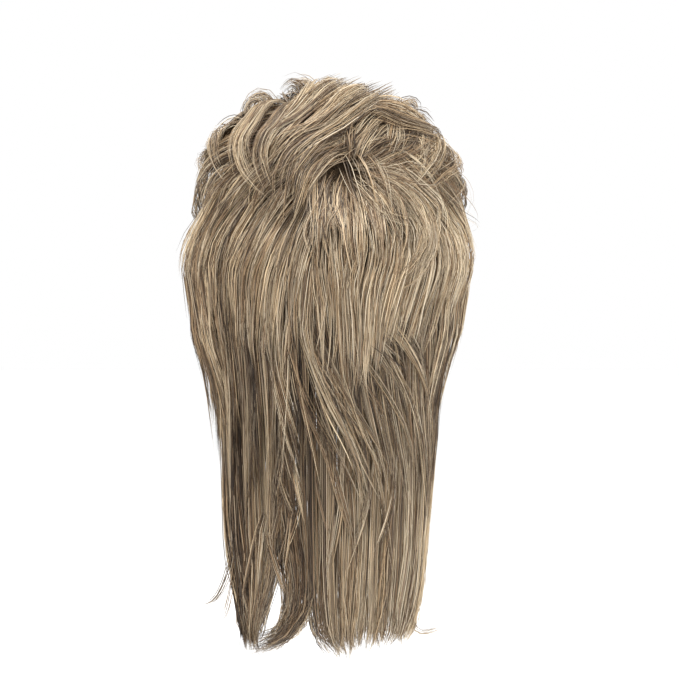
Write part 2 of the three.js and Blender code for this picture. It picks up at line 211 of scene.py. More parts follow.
def seenPath(left, up, out=seenOut):  # drawn as it shows from behind, in mm to the left of the middle and up
    curve = curveThrough(np.stack([left, up], -1) / 1000)

    def path(share):
        seen = curve(share)
        return behind(seen[..., 0], seen[..., 1], out)
    return path


def fallingPath(azimuth, start, end, drift, sway=0, phase=0, late=1.6):
    def path(share):
        share = np.maximum(share, 0)
        swayed = sway * np.sin(math.pi * (1.6 * share + phase)) * share
        return fromBack(azimuth + drift * share ** late + swayed, start + (end - start) * share)
    return path


def combFlow(strokes):  # samples of the way the hair is combed, from given strokes
    spots, ways = [], []
    for row in strokes:
        points = swoopPath(row)(np.linspace(0, 1, 14))
        spots.append(onForm(points, np.zeros(14)))
        ways.append(unit(np.gradient(points, axis=0)))
    return np.concatenate(spots), np.concatenate(ways)


def march(roots, lengths, wayAt, steps=12):  # carries each root over the form, and a little past its length
    at = onForm(roots, np.zeros(len(roots)))
    track = [at]
    for _ in range(steps):
        way, outward = wayAt(at), wayOut(at)[1]
        way = unit(way - (way * outward).sum(1, keepdims=True) * outward)
        at = onForm(at + way * (pastTip * lengths / steps)[:, None], np.zeros(len(at)))
        track.append(at)
    return np.stack(track, 1)


def follow(flow, roots, lengths, reach=0.012):  # along the flow
    spots, ways = flow

    def wayAt(at):
        gap = ((at[:, None] - spots[None]) ** 2).sum(2)
        weight = 1 / (gap + reach ** 2) ** 2
        return (weight[..., None] * ways[None]).sum(1)
    return march(roots, lengths, wayAt)


def followAway(roots, lengths, fall=0.5):  # straight away from the whorl, and down
    return march(roots, lengths, lambda at: -whorlWay - fall * np.array([0, 0, 1.0]) + 0 * at)


lookAhead = 0.02  # the share of a path that gives its direction
pastTip = 1.1


def beside(path, offset, spread=0.6):  # a path that runs beside another, and draws in towards its tip
    def moved(share):
        centre = path(share)
        ahead = path(share + lookAhead) - path(share - lookAhead)
        across = unit(np.cross(ahead, wayOut(centre)[1]))
        return centre + across * (offset * (1 + (spread - 1) * np.asarray(share)))[..., None]
    return moved


def trackPath(track):
    marks = np.linspace(0, pastTip, len(track))

    def path(share):
        return np.stack([np.interp(share, marks, track[:, axis]) for axis in range(3)], -1)
    return path


def taper(share, fullest=0.4, root=0.75, tip=0.35, curve=2.2):
    rising = root + (1 - root) * share / fullest
    falling = 1 - (1 - tip) * np.clip((share - fullest) / (1 - fullest), 0, 1.2) ** curve
    return np.where(share < fullest, rising, falling)


def strandTones(rng, count, middle):  # mostly mid strands, with light and dark ones among them
    pick = rng.random(count)
    light = np.where(pick > 0.68, rng.uniform(0.16, 0.5, count), 0)
    dark = np.where(pick < 0.28, rng.uniform(0.16, 0.44, count), 0)
    return middle + rng.normal(0, 0.07, count) + light - dark


strandSides = 3
sideTone = 0.05  # each side of a strand is a little lighter or darker, which shows as finer strands
blunt = 0.12  # how thick a strand's tip is
innerStrands = 50  # in each lock that fills a layer from inside
# How strands lie in any lock: the width of a clump in metres, and how many stray and how far they wander, as
# shares of the lock
lockShape = dict(clump=0.0036, strays=0.08, strayDrift=0.4, drift=0.06, wave=0.07, wiggle=0.02)


def combLock(made, rng, layer, path, width, count, lift=0, settle=0, tone=0.5, ash=0.5, start=0.4, rise=1.0,
             loose=1.0, thick=0.00024, rings=7, inner=False, gather=0.6, least=0.8, feather=0.84, point=5,
             under=0.0, bed=0.001, patchy=0.14):
    share = np.linspace(0, 1, rings)[None, :]
    clumps = max(3, round(width / lockShape["clump"]))
    clump = rng.integers(0, clumps, count)
    middle = (np.arange(clumps) + 0.5) / clumps * 2 - 1 + rng.normal(0, 0.3 / clumps, clumps)
    clumpTip = rng.uniform(least, 1.02, clumps)
    clumpTone = rng.normal(0, patchy, clumps)
    clumpHeight = rng.normal(0, 0.0008, clumps)
    clumpWave = rng.uniform(-1, 1, (clumps, 2))
    root = start * rng.random(count) ** 1.3
    tip = clumpTip[clump] * rng.uniform(feather, 1.03, count)
    along = root[:, None] + (tip - root)[:, None] * share
    own = rng.normal(0, 1.0 / clumps, count)
    stray = rng.random(count) < lockShape["strays"]
    strayed = rng.normal(0, lockShape["strayDrift"], count)
    drift = np.where(stray, strayed, rng.normal(0, lockShape["drift"], count)) * loose
    bend = clumpWave[clump, :, None]
    wave = lockShape["wave"] * bend[:, 0] * np.sin(along * 5 + 3 * bend[:, 1])
    wiggle = rng.normal(0, lockShape["wiggle"], count)[:, None]
    wiggle = wiggle * np.sin(along * 12 + rng.uniform(0, 6.3, count)[:, None])
    side = middle[clump][:, None] + own[:, None] * (1 - gather * share ** 1.5) + drift[:, None] * share ** 2
    side = side + wave + wiggle
    level = 1 - 0.5 * rng.random(count) ** 2  # how deep in the lock a strand lies
    raised = np.where(stray, rng.uniform(0.0004, 0.003, count), rng.uniform(0, 0.0003, count)) * min(loose, 2)
    centre = path(along)
    ahead = path(along + lookAhead) - path(along - lookAhead)
    outward = wayOut(centre)[1]
    across = unit(np.cross(ahead, outward))
    spot = centre + across * (width / 2 * taper(along) * side)[..., None]
    where = measured(spot)
    if inner:
        height = -rng.uniform(0.0002, 0.0013, count)[:, None] + 0 * along
    else:
        room = layerDepth(layer, where)
        profile = smooth(along, -0.12, 0.32) * (1 - 0.3 * smooth(along, 0.55, 1))
        crest = 0.5 + 0.5 * np.sqrt(1 - np.clip(np.abs(side), 0, 1) ** 2)
        deep = under + (1 - under) * crest * level[:, None]
        height = rise * np.maximum(room, bed) * profile * deep
        height = np.maximum(height + clumpHeight[clump][:, None] * share, 0.001)
        height = height + raised[:, None] * share + lift * along * along - settle * smooth(along, 0.4, 1)
    points = onForm(spot, floorOf(layer, where) + height)
    radius = thick * rng.lognormal(0, 0.35, count)[:, None] * (0.6 + 0.4 * np.sin(math.pi * share ** 0.7))
    radius = radius * np.clip(point * (1 - share) + blunt, 0, 1)
    shade = np.clip(strandTones(rng, count, tone + clumpTone[clump]), 0.02, 0.98)
    kind = rng.random(count) < ash
    made.append(dict(points=points, outward=outward, radius=radius, tone=shade, ash=kind))


def standLock(made, rng, row, tone, rings):  # a tuft that stands off, drawn as it shows from behind
    curve = curveThrough(np.stack([row["left"], row["up"]], -1) / 1000.0)
    count = row["count"]
    share = np.linspace(0, 1, rings)[None, :]
    along = share * rng.uniform(0.72, 1.04, count)[:, None]
    seen = curve(along)
    ahead = unit(curve(along + lookAhead) - curve(along - lookAhead))
    spread = row["width"] / 1000 * (1 - (1 - row["tip"]) * share)
    aside = rng.normal(0, 0.5, count)[:, None] * spread + rng.normal(0, 0.0008, count)[:, None] * share
    lean = rng.normal(0, row.get("lean", 7) / 1000, (2, count, 1))
    deep = row["deep"] / 1000 + lean[0] + lean[1] * share
    points = np.stack([seen[..., 0] - ahead[..., 1] * aside, deep, seen[..., 1] + ahead[..., 0] * aside], -1)
    outward = np.zeros_like(points)
    outward[..., 1] = 1
    thin = 0.0002 * rng.lognormal(0, 0.3, count)[:, None] * np.clip(4 * (1 - share) + blunt, 0, 1)
    shade = np.clip(strandTones(rng, count, tone), 0.02, 0.98)
    made.append(dict(points=points, outward=outward, radius=thin, tone=shade, ash=rng.random(count) < 0.45))


# Where a strand's tone and the way along it lie in its UV map: a first value and a span
chart = dict(tone=0.06, toneSpan=0.86, edge=0.01, along=0.02, alongSpan=0.46)


def strandMesh(name, made):
    points = np.concatenate([m["points"] for m in made])
    outward = np.concatenate([m["outward"] for m in made])
    radius = np.concatenate([m["radius"] for m in made])
    tone = np.concatenate([m["tone"] for m in made])
    ash = np.concatenate([m["ash"] for m in made])
    count, rings = points.shape[:2]
    forward = unit(np.gradient(points, axis=1))
    sideways = unit(np.cross(forward, outward))
    upright = np.cross(sideways, forward)
    angle = np.radians([90, 210, 330])
    ring = (np.cos(angle)[:, None] * sideways[:, :, None, :]
            + np.sin(angle)[:, None] * upright[:, :, None, :])
    vertices = (points[:, :, None, :] + ring * radius[:, :, None, None]).reshape(-1, 3)
    first = (np.arange(count) * rings * strandSides)[:, None, None]
    row = (np.arange(rings - 1) * strandSides)[None, :, None]
    k = np.arange(strandSides)
    j = (k + 1) % strandSides
    quads = np.stack([first + row + k, first + row + strandSides + k, first + row + strandSides + j,
                      first + row + j], -1).reshape(-1, 4)
    start = (np.arange(count) * rings * strandSides)[:, None]
    end = start + (rings - 1) * strandSides
    caps = np.concatenate([np.hstack([start, start + 1, start + 2]), np.hstack([end, end + 2, end + 1])])
    loops = np.concatenate([quads.ravel(), caps.ravel()])
    face = np.concatenate([np.tile(np.repeat(k, 4), count * (rings - 1)), np.ones(len(caps) * 3, int)])
    sizes = np.concatenate([np.full(len(quads), 4), np.full(len(caps), 3)])
    mesh = bpy.data.meshes.new(name)
    mesh.vertices.add(len(vertices))
    mesh.vertices.foreach_set("co", vertices.astype(np.float32).ravel())
    mesh.loops.add(len(loops))
    mesh.loops.foreach_set("vertex_index", loops.astype(np.int32))
    mesh.polygons.add(len(sizes))
    mesh.polygons.foreach_set("loop_start", (np.cumsum(sizes) - sizes).astype(np.int32))
    mesh.update(calc_edges=True)
    strand = loops // (rings * strandSides)
    ringOf = loops // strandSides % rings
    edge = (loops % strandSides != face) * chart["edge"]
    u = tone[strand] * chart["toneSpan"] + chart["tone"] + sideTone * (face - 1) + edge
    v = (ringOf / (rings - 1)) * chart["alongSpan"] + chart["along"] + 0.5 * ash[strand]
    layer = mesh.uv_layers.new(name="OFBake")
    layer.data.foreach_set("uv", np.stack([u, v], -1).astype(np.float32).ravel())
    mesh.shade_smooth()
    mesh.validate()
    piece = bpy.data.objects.new(name, mesh)
    bpy.context.scene.collection.objects.link(piece)
    print(name, count, "strands,", len(quads) * 2 + len(caps), "triangles")
    return piece


# Materials: a wire is a socket that sums can be written on

class Wire:
    def __init__(self, tree, socket):
        self.tree, self.socket = tree, socket

    def node(self, kind, settings=None, sockets=None, output=0):
        made = self.tree.nodes.new("ShaderNode" + kind)
        for name, value in (settings or {}).items():
            if name == "stops":
                while len(made.color_ramp.elements) < len(value):
                    made.color_ramp.elements.new(0.5)
                for element, (at, colour) in zip(made.color_ramp.elements, value):
                    element.position, element.color = at, (*colour, 1)
            else:
                setattr(made, name, value)
        for name, value in (sockets or {}).items():
            if isinstance(value, Wire):
                self.tree.links.new(value.socket, made.inputs[name])
            else:
                made.inputs[name].default_value = value
        return Wire(self.tree, made.outputs[output])

    def sum(self, operation, first, second):
        return self.node("Math", dict(operation=operation), {0: first, 1: second})

    def __add__(self, other):
        return self.sum("ADD", self, other)

    def __sub__(self, other):
        return self.sum("SUBTRACT", self, other)

    def __rsub__(self, other):
        return self.sum("SUBTRACT", other, self)

    def __mul__(self, other):
        return self.sum("MULTIPLY", self, other)

    __radd__, __rmul__ = __add__, __mul__


def newMaterial(name, **constants):
    material = bpy.data.materials.new(name)
    material.use_nodes = True
    shader = material.node_tree.nodes["Principled BSDF"]
    for socket, value in constants.items():
        shader.inputs[socket.replace("_", " ")].default_value = value
    return material, shader, Wire(material.node_tree, None)


def srgb(r, g, b):
    return tuple((v / 255 / 12.92) if v <= 10 else ((v / 255 + 0.055) / 1.055) ** 2.4 for v in (r, g, b))


hairTones = dict(
    warm=[(0.0, srgb(41, 30, 21)), (0.25, srgb(93, 72, 52)), (0.5, srgb(148, 122, 93)),
          (0.75, srgb(194, 169, 134)), (1.0, srgb(230, 212, 180))],
    ash=[(0.0, srgb(43, 35, 28)), (0.25, srgb(94, 80, 66)), (0.5, srgb(148, 130, 108)),
         (0.75, srgb(191, 174, 147)), (1.0, srgb(229, 215, 190))],
)
# The backing's streaked colour: dark under-hair, darkened further as painted shade that shows between the
# locks
backingHairAndShadeTones = [(0.3, srgb(46, 37, 28)), (0.7, srgb(98, 80, 60))]
# Painted shade: each strand's colour darkens towards its root
shadeAlong = [(0, (0.5, 0.46, 0.42)), (0.3, (0.9, 0.88, 0.86)), (0.95, (1, 1, 1))]  # darker at the roots


def hairMaterial(name, roughness):
    material, shader, wire = newMaterial(name, Roughness=roughness, Specular_IOR_Level=0.45)
    uv = wire.node("UVMap", dict(uv_map="OFBake"))
    tone = wire.node("SeparateXYZ", sockets={0: uv})
    v = wire.node("SeparateXYZ", sockets={0: uv}, output=1)
    ash = wire.sum("GREATER_THAN", v, 0.5)
    along = wire.sum("FRACT", v * 2, 0)
    warmColour = wire.node("ValToRGB", dict(stops=hairTones["warm"]), {0: tone})
    ashColour = wire.node("ValToRGB", dict(stops=hairTones["ash"]), {0: tone})
    colour = wire.node("Mix", dict(data_type="RGBA"), {0: ash, 6: warmColour, 7: ashColour}, output=2)
    # the painted shade towards the roots, multiplied into the hair colour
    shade = wire.node("ValToRGB", dict(stops=shadeAlong), {0: along})
    full = wire.node("Mix", dict(data_type="RGBA", blend_type="MULTIPLY"), {0: 1.0, 6: colour, 7: shade},
                     output=2)
    wire.tree.links.new(full.socket, shader.inputs["Base Color"])
    return material


# Painted shade: the backing's dark streaked colour stands for the shadow down between the locks, over the
# under-hair
def backingMaterial():
    material, shader, wire = newMaterial("rootShadow", Roughness=0.8, Specular_IOR_Level=0.2)
    place = wire.node("TexCoord", output=3)
    stretched = wire.node("Mapping", sockets={0: place, 3: (900, 900, 60)})
    streak = wire.node("TexNoise", sockets={"Vector": stretched, "Scale": 1.0, "Detail": 3.0})
    colour = wire.node("ValToRGB", dict(stops=backingHairAndShadeTones), {0: streak})
    wire.tree.links.new(colour.socket, shader.inputs["Base Color"])
    return material


shortHair = hairMaterial("shortHair", 0.42)
longHair = hairMaterial("longHair", 0.4)
rootShadow = backingMaterial()
print("materials made")


def onlySelect(piece):
    bpy.ops.object.select_all(action="DESELECT")
    piece.select_set(True)
    bpy.context.view_layer.objects.active = piece


sheetWall = 0.0007


# Each sheet is coloured dark: under-hair, with painted shade that shows through the gaps between the locks
def backingSheet(name, layer, columns, rows, place):  # the sewn rows under a layer's locks
    bpy.ops.object.select_all(action="DESELECT")
    bpy.ops.mesh.primitive_grid_add(x_subdivisions=columns, y_subdivisions=rows, size=1)
    sheet = bpy.context.object
    sheet.name = name
    flat = np.empty(len(sheet.data.vertices) * 3, np.float32)
    sheet.data.vertices.foreach_get("co", flat)
    flat = flat.reshape(-1, 3).astype(float) + 0.5
    spots = place(flat[:, 0], flat[:, 1])
    where = measured(spots)
    sunk = thickness["crown"] * (1 - smooth(where["away"], 22, 36)) if layer == "top" else 0
    shaped = onForm(spots, floorOf(layer, where) - sunk)
    sheet.data.vertices.foreach_set("co", shaped.astype(np.float32).ravel())
    onlySelect(sheet)
    bpy.ops.object.mode_set(mode="EDIT")
    bpy.ops.mesh.select_all(action="SELECT")
    bpy.ops.mesh.normals_make_consistent(inside=False)
    bpy.ops.object.mode_set(mode="OBJECT")
    wall = sheet.modifiers.new("wall", "SOLIDIFY")
    wall.thickness, wall.offset = sheetWall, 1
    bpy.ops.object.modifier_apply(modifier=wall.name)
    bpy.ops.object.shade_smooth()
    sheet.data.materials.append(rootShadow)
    return sheet


def finishLayer(node, slot, material, sheet, *hair):
    for piece in hair:
        piece.data.materials.append(material)
    for piece in (*hair, sheet):
        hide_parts(node)
        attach(piece, "root")


def hangingRange(first, last, start, tips, share):
    def place(across, along):
        azimuth = first + (last - first) * across
        end = share * tips(azimuth)
        return fromBack(azimuth, end + (start - end) * along)
    return place


napeLook = dict(locks=84, strands=40, inner=10, crossing=26, crossingStrands=11, edge=83, rings=8,
                reach=0.016, out=0.0135, above=[-112, -160, -220], sway=[0.3, 0.5, 1, 1.6, 2.4])
# The clumps that the long hair ends in, as they show from behind: the first and the last edge of each, in mm
# to the left of the middle and up from the crown, from where they part down to the tips
napeClumps = [
    dict(first=dict(left=[73, 69, 64, 60, 57], up=[-279, -306, -334, -352, -368]),
         last=dict(left=[36, 35, 44, 51, 56], up=[-279, -306, -334, -352, -367])),
    dict(first=dict(left=[35, 28, 26, 36, 57], up=[-279, -306, -334, -355, -369]),
         last=dict(left=[11, 9, 12, 26, 57], up=[-279, -306, -334, -355, -372])),
    dict(first=dict(left=[14, 12, 12, 7, -9], up=[-279, -306, -334, -355, -371]),
         last=dict(left=[-13, -13, -13, -14, -16], up=[-279, -306, -334, -355, -372])),
    dict(first=dict(left=[-13, -12, -11, -11, -12], up=[-279, -306, -334, -355, -371]),
         last=dict(left=[-68, -66, -63, -60, -56], up=[-279, -306, -334, -350, -363])),
]
# Wisps that stray from the tips, as they show from behind
napeWisps = [
    dict(left=[63, 67, 73, 79, 85], up=[-290, -312, -327, -334, -336], width=4, tip=0.4, deep=50, lean=1,
         count=12),
    dict(left=[61, 65, 69, 74], up=[-300, -326, -342, -349], width=3, tip=0.4, deep=50, lean=1, count=6),
    dict(left=[-52, -57, -64, -73, -82], up=[-325, -347, -355, -354, -349], width=4, tip=0.4, deep=56, lean=1,
         count=10),
]
# Light and shade over the long hair, by degrees round
hairShade = [
    dict(azimuth=-88, tone=-0.02), dict(azimuth=-50, tone=-0.12), dict(azimuth=-36, tone=0.02),
    dict(azimuth=-14, tone=0.03), dict(azimuth=-7, tone=-0.1), dict(azimuth=6, tone=0.02),
    dict(azimuth=30, tone=0.09), dict(azimuth=88, tone=0.14),
]


def makeNape():
    rng = np.random.default_rng(11)
    made = []
    upper = np.array(napeLook["above"])
    parting = napeClumps[0]["first"]["up"][0]
    leftMost, rightMost = napeClumps[0]["first"]["left"][0], napeClumps[-1]["last"]["left"][0]

    def reachOf(up):  # half the width of the hair at a level, in mm
        return 1000 * (halfSizes(up / 1000)[0] + napeLook["reach"])

    def lockPath(azimuth):
        share = -math.sin(math.radians(azimuth))
        left = float(np.clip(share * reachOf(np.array(parting)), rightMost, leftMost))
        clump = next(row for row in napeClumps if left >= row["last"]["left"][0] or row is napeClumps[-1])
        first, last = clump["first"], clump["last"]
        across = np.clip((first["left"][0] - left) / (first["left"][0] - last["left"][0]), 0, 1)
        lefts = np.array(first["left"]) * (1 - across) + np.array(last["left"]) * across
        ups = np.array(first["up"]) * (1 - across) + np.array(last["up"]) * across
        above = share * reachOf(upper) + rng.normal(0, 1.5, 3)
        lefts = lefts + rng.normal(0, 1, 5) * napeLook["sway"]
        ups = ups + [0, 0, 0, 0, 8 * rng.random() ** 2]
        return seenPath(np.concatenate([above, lefts]), np.concatenate([upper, ups]), napeLook["out"])
    for i in range(napeLook["locks"]):
        azimuth = napeLook["edge"] * (2 * (i + rng.uniform(0.1, 0.9)) / napeLook["locks"] - 1)
        shade = readTable(hairShade, "azimuth", "tone", azimuth)
        outer = smooth(abs(azimuth), 50, 72)
        combLock(made, rng, "nape", lockPath(azimuth), rng.uniform(0.006, 0.014), napeLook["strands"],
                 rings=napeLook["rings"], rise=rng.uniform(0.25, 1) * (1 + 0.2 * outer),
                 bed=0.001 + 0.01 * outer, tone=rng.normal(0.475, 0.1) + shade, start=0.2, least=0.9,
                 feather=0.88, gather=0.3, point=8, loose=1.8)
    for azimuth in np.linspace(-76, 76, napeLook["inner"]):
        path = lockPath(azimuth + rng.uniform(-5, 5))
        combLock(made, rng, "nape", path, 0.026, innerStrands, rings=napeLook["rings"], inner=True, tone=0.34,
                 start=0.15, least=0.92, feather=0.92, point=9)
    for i in range(napeLook["crossing"]):  # thin locks that cross the rest on their way down
        left, up, drop = rng.uniform(-58, 58), rng.uniform(-270, -190), rng.uniform(60, 95)
        aside = rng.choice([-1, 1]) * rng.uniform(6, 26)
        path = seenPath(left + aside * np.array([0, 0.4, 1]), up - drop * np.array([0, 0.5, 1]))
        combLock(made, rng, "nape", path, rng.uniform(0.003, 0.007), napeLook["crossingStrands"],
                 rings=napeLook["rings"], rise=rng.uniform(0.9, 1.2), tone=rng.normal(0.54, 0.1), start=0.4,
                 least=0.75, loose=1.5, point=7, under=0.6)
    for row in napeWisps:
        standLock(made, rng, row, 0.4, napeLook["rings"])
    strands = strandMesh("nape_length_hair", made)
    place = hangingRange(-58, 58, 0.112, lambda azimuth: hairLength["nape"], 0.44)
    sheet = backingSheet("nape_length_backing", "nape", 40, 20, place)
    finishLayer("nape_length", "long_hair", longHair, sheet, strands)


backLook = dict(locks=68, strands=46, edge=76, start=0.5 * head["dome"], crossingStrands=13,
                offsets=(-0.009, -0.004, 0, 0.005, 0.01))
# How far a lock of the back layer drifts round as it falls, in degrees
backSweep = [
    dict(azimuth=-80, drift=4), dict(azimuth=-40, drift=0), dict(azimuth=-14, drift=2),
    dict(azimuth=4, drift=30), dict(azimuth=22, drift=34), dict(azimuth=50, drift=14),
    dict(azimuth=80, drift=-4),
]
# Long locks that cross the back, as they show from behind: mm to the left, and up from the crown
backCrossing = [
    dict(left=[18, 10, -6, -25, -38], up=[-120, -148, -189, -223, -250]),
    dict(left=[6, -13, -41, -61, -68], up=[-106, -134, -172, -210, -244]),
    dict(left=[-6, -32, -58, -73, -76], up=[-99, -127, -158, -192, -216]),
    dict(left=[18, 14, 3, -13, -24], up=[-134, -158, -196, -230, -265]),
    dict(left=[-17, -44, -65, -70], up=[-113, -148, -186, -224]),
    dict(left=[12, -4, -28, -50], up=[-128, -164, -204, -240]),
    dict(left=[2, -10, -30, -52, -66], up=[-104, -124, -146, -166, -184]),
    dict(left=[4, -8, -22, -34], up=[-164, -200, -234, -262]),
    dict(left=[36, 32, 22, 12], up=[-140, -180, -222, -262]),
]


def makeBack():
    rng = np.random.default_rng(12)
    made = []
    for row in backCrossing:
        for offset in backLook["offsets"]:
            bend = rng.normal(0, 2) + np.linspace(rng.normal(0, 2), rng.normal(0, 5), len(row["left"]))
            path = beside(seenPath(np.array(row["left"]) + bend, row["up"]), offset)
            combLock(made, rng, "back", path, rng.uniform(0.003, 0.008), backLook["crossingStrands"],
                     rise=rng.uniform(0.7, 1.2), tone=rng.normal(0.48, 0.09), start=0.5, least=0.5, loose=1.8,
                     feather=0.7, under=0.4)
    for i in range(backLook["locks"]):
        azimuth = backLook["edge"] * (2 * (i + rng.uniform(0.1, 0.9)) / backLook["locks"] - 1)
        tip = hairLength["back"] * rng.uniform(0.7, 1.1)
        drift = readTable(backSweep, "azimuth", "drift", azimuth) + rng.normal(0, 5)
        path = fallingPath(0.94 * azimuth, backLook["start"], tip, drift, rng.normal(0, 2), rng.random())
        shade = min(readTable(hairShade, "azimuth", "tone", azimuth), 0)
        middle = smooth(-abs(azimuth - 8), -40, -16)
        combLock(made, rng, "back", path, rng.uniform(0.009, 0.02), backLook["strands"],
                 rise=rng.uniform(0.3, 1), start=0.3, least=0.72, loose=1.3,
                 tone=rng.normal(0.41, 0.09) + shade - 0.08 * middle)
    strands = strandMesh("back_layer_hair", made)
    place = hangingRange(-62, 62, backLook["start"], lambda azimuth: hairLength["back"], 0.55)
    sheet = backingSheet("back_layer_backing", "back", 36, 20, place)
    finishLayer("back_layer", "long_hair", longHair, sheet, strands)


sideLook = dict(locks=34, strands=43, inner=4, long=8, longStrands=22, start=0.34 * head["dome"])


def makeSide(name, side):
    rng = np.random.default_rng(21 + side)
    made = []

    def tips(azimuth):
        return hairLength["side"] * readTable(sideTips, "azimuth", "share", np.abs(azimuth))

    def lockPath(azimuth, tip, leastDrift=4):
        drift = -side * rng.uniform(leastDrift, 16)
        return fallingPath(side * azimuth, sideLook["start"], tip, drift, rng.normal(0, 2), 0.5)

    def shortPath(azimuth):
        return lockPath(azimuth, tips(azimuth) * rng.uniform(0.84, 1.04))
    for i in range(sideLook["locks"]):
        azimuth = 50 + 96 * (i + rng.uniform(0.1, 0.9)) / sideLook["locks"]
        combLock(made, rng, "side", shortPath(azimuth), rng.uniform(0.01, 0.02), sideLook["strands"],
                 rise=rng.uniform(0.3, 0.8), settle=0.005, tone=rng.normal(0.47, 0.08), start=0.3)
    for i in range(sideLook["long"]):  # longer ones that run into the hair of the nape
        azimuth = 60 + 28 * (i + rng.uniform(0.1, 0.9)) / sideLook["long"]
        path = lockPath(azimuth, hairLength["side"] * rng.uniform(1.06, 1.24), 8)
        combLock(made, rng, "side", path, rng.uniform(0.008, 0.014), sideLook["longStrands"],
                 rise=rng.uniform(0.05, 0.35), settle=0.003, tone=rng.normal(0.44, 0.08), start=0.5,
                 least=0.7)
    for _ in range(sideLook["inner"]):
        combLock(made, rng, "side", shortPath(rng.uniform(64, 134)), 0.028, innerStrands, inner=True,
                 tone=0.36, start=0.2)
    strands = strandMesh(name + "_hair", made)
    place = hangingRange(side * 64, side * 126, sideLook["start"], tips, 0.66)
    sheet = backingSheet(name + "_backing", "side", 20, 18, place)
    finishLayer(name, "short_hair", shortHair, sheet, strands)


fringeLook = dict(locks=24, strands=43, inner=3, start=0.16 * head["dome"])


def makeFringe():
    rng = np.random.default_rng(31)
    made = []

    def lockPath(azimuth):
        tip = hairLength["fringe"] * rng.uniform(0.8, 1.04)
        return fallingPath(azimuth, fringeLook["start"], tip, rng.normal(4, 5))
    for i in range(fringeLook["locks"]):
        azimuth = 138 + 84 * (i + rng.uniform(0.1, 0.9)) / fringeLook["locks"]
        combLock(made, rng, "fringe", lockPath(azimuth), rng.uniform(0.01, 0.018), fringeLook["strands"],
                 rise=rng.uniform(0.4, 1), tone=rng.normal(0.5, 0.07), start=0.3, least=0.7)
    for _ in range(fringeLook["inner"]):
        combLock(made, rng, "fringe", lockPath(rng.uniform(150, 210)), 0.026, innerStrands, inner=True,
                 tone=0.4)
    strands = strandMesh("fringe_hair", made)
    place = hangingRange(152, 208, fringeLook["start"], lambda azimuth: hairLength["fringe"], 0.66)
    sheet = backingSheet("fringe_backing", "fringe", 20, 10, place)
    finishLayer("fringe", "short_hair", shortHair, sheet, strands)


def discSpot(spin, away):  # a place by degrees away from the whorl and degrees round it
    up = np.array([0.0, 0.0, 1.0])
    right = unit(np.cross(whorlWay, up))
    ahead = np.cross(right, whorlWay)
    spin, away = np.radians(spin)[:, None], np.radians(away)[:, None]
    way = np.cos(away) * whorlWay + np.sin(away) * (np.cos(spin) * ahead + np.sin(spin) * right)
    return way * head["length"] / 2 + np.array([0, 0, widest])


goldenTurn = 137.508  # degrees

# Strokes of the comb from the whorl outwards, in degrees round from the back and down from the crown
crownStrokes = [
    dict(round=[5, -5, -12, -20, -24], down=[57, 67, 77, 87, 110]),
    dict(round=[6, 2, 3, 9, 12], down=[62, 74, 84, 96, 116]),
    dict(round=[5, 0, -4, -6, -6], down=[60, 74, 84, 97, 118]),
    dict(round=[11, 21, 21, 13, 14], down=[63, 74, 84, 96, 114]),
    dict(round=[13, 33, 42, 34, 28], down=[61, 67, 78, 90, 112]),
    dict(round=[16, 46, 58, 56, 52], down=[56, 62, 76, 94, 116]),
    dict(round=[16, 50, 74, 78, 74], down=[52, 52, 66, 88, 114]),
    dict(round=[0, -24, -34, -40, -42], down=[56, 63, 74, 90, 114]),
    dict(round=[-2, -40, -56, -62, -62], down=[51, 54, 68, 90, 118]),
    dict(round=[4, -16, -22, -30, -32], down=[60, 66, 78, 96, 118]),
    dict(round=[2, -20, -80], down=[44, 34, 44]),
    dict(round=[14, 40, 86], down=[44, 38, 48]),
]
crownLook = dict(locks=80, strands=41, disc=38, middleStrands=26, sheet=27)
# Locks down the middle, where the combed ones part, as they show from behind
crownMiddle = [
    dict(left=[-2, -2, -4], up=[-58, -80, -102]),
    dict(left=[4, 2, -1, -3], up=[-98, -118, -138, -158]),
]


def makeCrown():
    rng = np.random.default_rng(41)
    flow = combFlow(crownStrokes)
    count = crownLook["locks"]
    i = np.arange(count) + 0.5
    roots = discSpot(goldenTurn * i, crownLook["disc"] * np.sqrt(i / count))
    tracks = follow(flow, roots, rng.uniform(0.052, 0.1, count))
    made = []
    # The crown's tones are set lighter than the long hair: lighter hair there, and a painted highlight where
    # the top of the head catches the light
    for track in tracks:
        combLock(made, rng, "crown", trackPath(track), rng.uniform(0.01, 0.022), crownLook["strands"],
                 rise=rng.uniform(0.3, 1), settle=0.002, tone=min(rng.normal(0.69, 0.09), 0.8), ash=0.45,
                 start=0.18, least=0.7, patchy=0.11)
    for row in crownMiddle:
        combLock(made, rng, "crown", seenPath(row["left"], row["up"]), 0.012, crownLook["middleStrands"],
                 rise=0.85, tone=0.64, ash=0.45, start=0.4, least=0.6, patchy=0.11, under=0.3)
    strands = strandMesh("crown_layer_hair", made)
    sheet = backingSheet("crown_layer_backing", "crown", 36, 12,
                         lambda across, along: discSpot(360 * across, crownLook["sheet"] * along))
    finishLayer("crown_layer", "short_hair", shortHair, sheet, strands)


